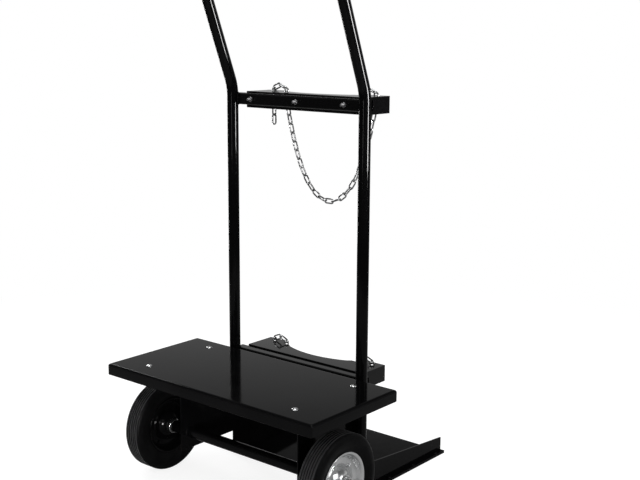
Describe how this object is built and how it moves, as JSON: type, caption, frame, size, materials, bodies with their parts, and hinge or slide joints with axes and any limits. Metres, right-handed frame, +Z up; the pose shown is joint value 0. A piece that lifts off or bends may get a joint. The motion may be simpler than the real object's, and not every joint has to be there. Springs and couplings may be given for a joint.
{
  "type": "welding cart",
  "caption": "Two-wheeled welding cart with a flat machine tray, leaning push handle, low cylinder platform and two notched saddles with hanging safety chains.",
  "frame": {"origin": "middle of the bounding box, on the floor under the wheels and the platform", "axes": "+Z up, +X to the cart's right seen from the handle side, +Y from the tray towards the cylinder platform"},
  "size_m": [0.58, 0.6, 1.1035],
  "materials": {
    "black_paint": "gloss black powder coat",
    "zinc": "bright zinc plate",
    "bright_steel": "plain turned steel",
    "tyre_rubber": "matt black rubber",
    "bush_plastic": "dark moulded plastic"
  },
  "bodies": {
    "frame": {"left_upright": "black_paint", "right_upright": "black_paint", "push_handle": "black_paint", "tray": "black_paint", "left_cheek": "black_paint", "right_cheek": "black_paint", "axle_tube": "black_paint", "platform_plate": "black_paint", "left_side_wall": "black_paint", "right_side_wall": "black_paint", "upper_cross_tube": "black_paint", "lower_cross_tube": "black_paint", "upper_saddle": "black_paint", "lower_saddle": "black_paint", "axle_shaft": "bright_steel", "tray_screw_front_left": "zinc", "tray_screw_front_right": "zinc", "tray_screw_rear_left": "zinc", "tray_screw_rear_right": "zinc", "upper_bolt_1": "bright_steel", "upper_bolt_2": "bright_steel", "upper_bolt_3": "bright_steel", "lower_bolt_1": "bright_steel", "lower_bolt_2": "bright_steel", "lower_bolt_3": "bright_steel", "upper_nut_1": "bright_steel", "upper_nut_2": "bright_steel", "upper_nut_3": "bright_steel", "lower_nut_1": "bright_steel", "lower_nut_2": "bright_steel", "lower_nut_3": "bright_steel", "left_wall_bolt_1": "black_paint", "left_wall_bolt_2": "black_paint", "left_wall_bolt_3": "black_paint", "right_wall_bolt_1": "black_paint", "right_wall_bolt_2": "black_paint", "right_wall_bolt_3": "black_paint", "upper_chain_end_left": "zinc", "upper_chain_end_right": "zinc", "lower_chain_end_left": "zinc", "lower_chain_end_right": "zinc", "left_wheel_washer": "zinc", "left_wheel_lock_pin": "zinc", "right_wheel_washer": "zinc", "right_wheel_lock_pin": "zinc"},
    "left_wheel": {"left_wheel_tyre": "tyre_rubber", "left_wheel_rim_outer": "zinc", "left_wheel_rim_inner": "black_paint", "left_wheel_hub": "zinc", "left_wheel_bush_outer": "bush_plastic", "left_wheel_bush_inner": "bush_plastic"},
    "right_wheel": {"right_wheel_tyre": "tyre_rubber", "right_wheel_rim_outer": "zinc", "right_wheel_rim_inner": "black_paint", "right_wheel_hub": "zinc", "right_wheel_bush_outer": "bush_plastic", "right_wheel_bush_inner": "bush_plastic"},
    "upper_chain": {"upper_chain": "zinc"},
    "lower_chain": {"lower_chain": "zinc"}
  },
  "joints": [
    {"name": "left_wheel_spin", "type": "hinge", "parent": "frame", "child": "left_wheel", "pos_m": [-0.2485, -0.174, 0.1015], "axis": [1, 0, 0], "continuous": true},
    {"name": "right_wheel_spin", "type": "hinge", "parent": "frame", "child": "right_wheel", "pos_m": [0.2485, -0.174, 0.1015], "axis": [1, 0, 0], "continuous": true},
    {"name": "upper_chain_swing", "type": "hinge", "parent": "frame", "child": "upper_chain", "pos_m": [0.0185, 0.0778, 0.82705], "axis": [1, 0, 0], "range_deg": [-40, 40]},
    {"name": "lower_chain_swing", "type": "hinge", "parent": "frame", "child": "lower_chain", "pos_m": [0.0185, 0.0778, 0.24455], "axis": [1, 0, 0], "range_deg": [-40, 40]}
  ]
}
